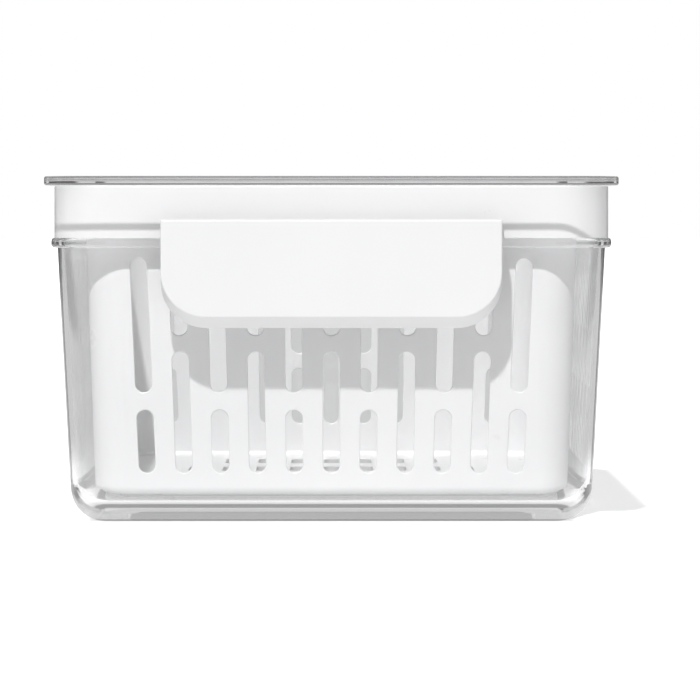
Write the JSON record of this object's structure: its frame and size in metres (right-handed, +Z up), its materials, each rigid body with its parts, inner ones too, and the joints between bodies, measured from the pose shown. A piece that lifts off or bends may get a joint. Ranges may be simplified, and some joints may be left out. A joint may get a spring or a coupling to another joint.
{
  "type": "fridge storage bin",
  "caption": "Clear rectangular fridge bin with a white slotted drainer basket, a tall collar with a front pull handle and a flat clear lid.",
  "frame": {"origin": "middle of the whole object's footprint, on the surface that it stands on", "axes": "+Z up, front with the pull handle faces -Y, +X to the right as seen from the front"},
  "size_m": [0.2352, 0.3646, 0.142],
  "materials": {
    "clear_tub": "clear, polished",
    "white_basket": "satin to gloss white",
    "white_handle": "fine satin white",
    "clear_lid": "clear, polished"
  },
  "bodies": {
    "tub": {"tub": "clear_tub"},
    "basket": {"basket": "white_basket", "handle": "white_handle"},
    "lid": {"lid": "clear_lid"}
  },
  "joints": [
    {"name": "basket_lift", "type": "slide", "parent": "tub", "child": "basket", "axis": [0, 0, 1], "range_m": [0, 0.14]},
    {"name": "lid_lift", "type": "slide", "parent": "basket", "child": "lid", "axis": [0, 0, 1], "range_m": [0, 0.06]}
  ]
}
